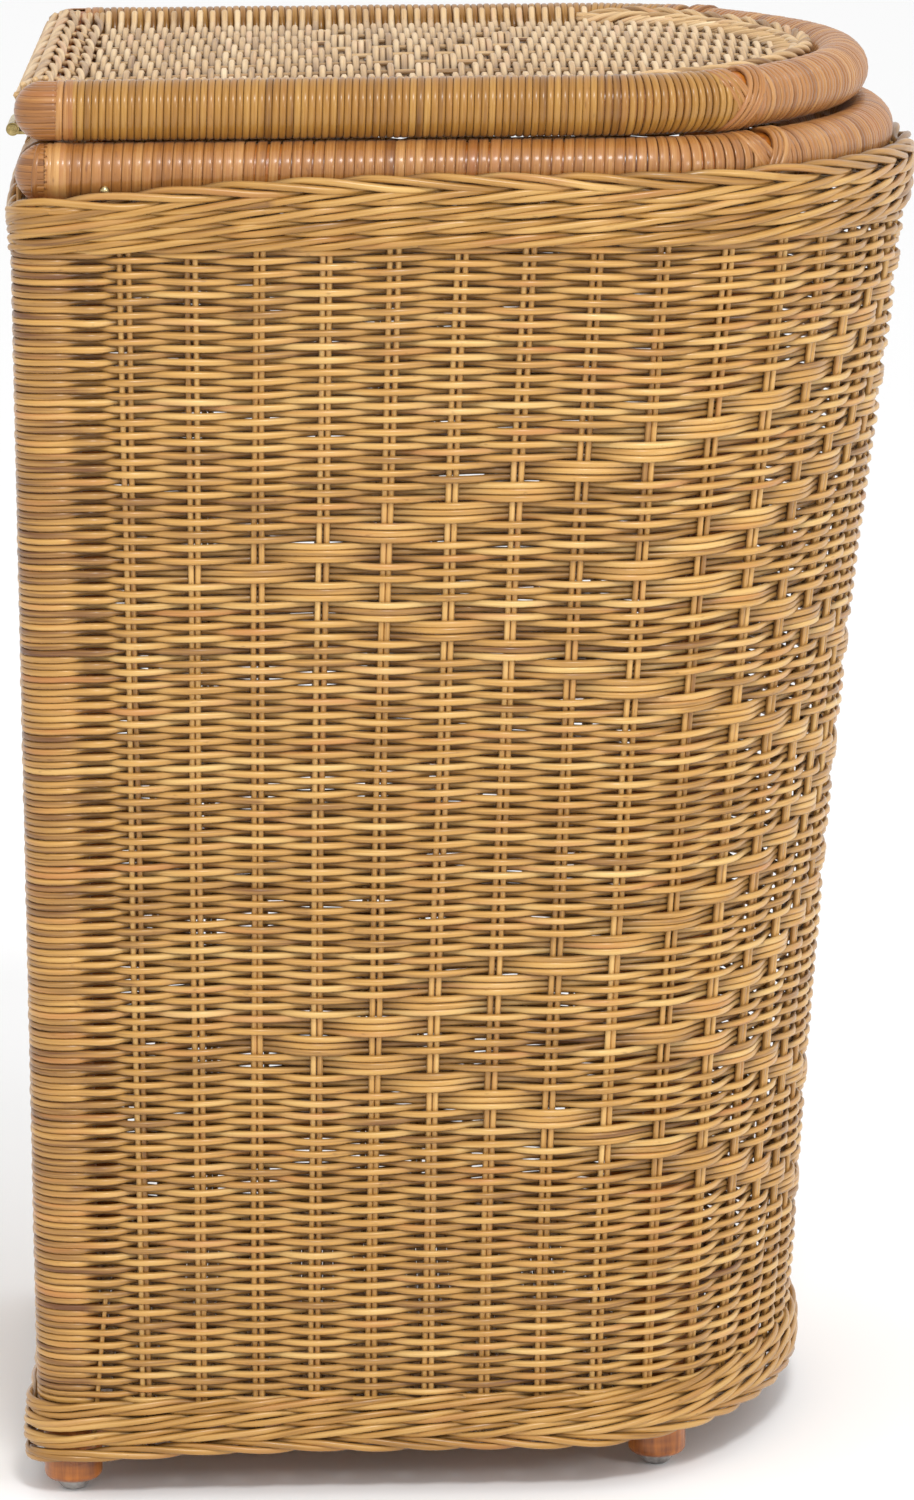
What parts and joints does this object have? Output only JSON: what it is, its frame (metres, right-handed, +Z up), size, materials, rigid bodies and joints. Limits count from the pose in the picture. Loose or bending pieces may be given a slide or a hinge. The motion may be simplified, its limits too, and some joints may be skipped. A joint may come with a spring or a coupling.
{
  "type": "laundry hamper with lid",
  "caption": "Tall woven rattan laundry hamper with a flat back, a bowed front, short feet and a hinged woven lid framed by cane-wrapped poles.",
  "frame": {"origin": "middle of the footprint, on the floor", "axes": "+Z up, -Y towards the bowed front, +Y towards the flat back with the hinges, +X to the right as seen from the front"},
  "size_m": [0.4128, 0.4249, 0.66],
  "materials": {
    "wall_wicker": "lacquered woven rattan core, satin",
    "border_wicker": "lacquered twined rattan, satin",
    "lid_wicker": "pale woven rattan, satin",
    "side_cane": "yellow-brown cane wrapping, satin",
    "front_cane": "reddish flat cane wrapping, satin",
    "pole_rattan": "peeled and lacquered rattan pole, satin",
    "hinge_brass": "aged brass, satin",
    "screw_brass": "brass, satin",
    "nail_brass": "aged brass, satin",
    "glide_grey": "grey moulded plastic, matte"
  },
  "bodies": {
    "basket": {"post_rear_right": "pole_rattan", "post_rear_left": "pole_rattan", "post_front_right": "pole_rattan", "post_front_left": "pole_rattan", "foot_glides": "glide_grey", "wall_weave": "wall_wicker", "bottom_border": "border_wicker", "top_waling": "border_wicker", "top_braid": "border_wicker", "rim_pole": "pole_rattan", "rim_back_rail": "pole_rattan", "rim_side_wraps": "front_cane", "rim_front_wrap": "front_cane", "rim_back_wrap": "side_cane", "rim_collars": "front_cane", "rim_corner_bindings": "front_cane", "rim_nails": "nail_brass", "hinge_screws_rim": "screw_brass", "base_rail_right": "pole_rattan", "base_rail_left": "pole_rattan", "base_rail_front": "pole_rattan", "base_rail_back": "pole_rattan", "base_cross_rails": "pole_rattan", "base_panel": "wall_wicker", "hinge_leaf_rim_left": "hinge_brass", "hinge_leaf_rim_right": "hinge_brass", "hinge_pin_left": "hinge_brass", "hinge_pin_right": "hinge_brass"},
    "lid": {"lid_pole": "pole_rattan", "lid_back_rail": "pole_rattan", "lid_side_wrap_right": "side_cane", "lid_side_wrap_left": "side_cane", "lid_front_wrap": "front_cane", "lid_back_braid": "lid_wicker", "lid_collars": "front_cane", "lid_corner_bindings": "front_cane", "lid_panel": "lid_wicker", "lid_twined_rows": "lid_wicker", "lid_front_braid": "lid_wicker", "hinge_screws_lid": "screw_brass", "hinge_leaf_lid_left": "hinge_brass", "hinge_leaf_lid_right": "hinge_brass"}
  },
  "joints": [
    {"name": "lid_hinge", "type": "hinge", "parent": "basket", "child": "lid", "pos_m": [0, 0.2063, 0.63215], "axis": [-1, 0, 0], "range_deg": [0, 125]}
  ]
}
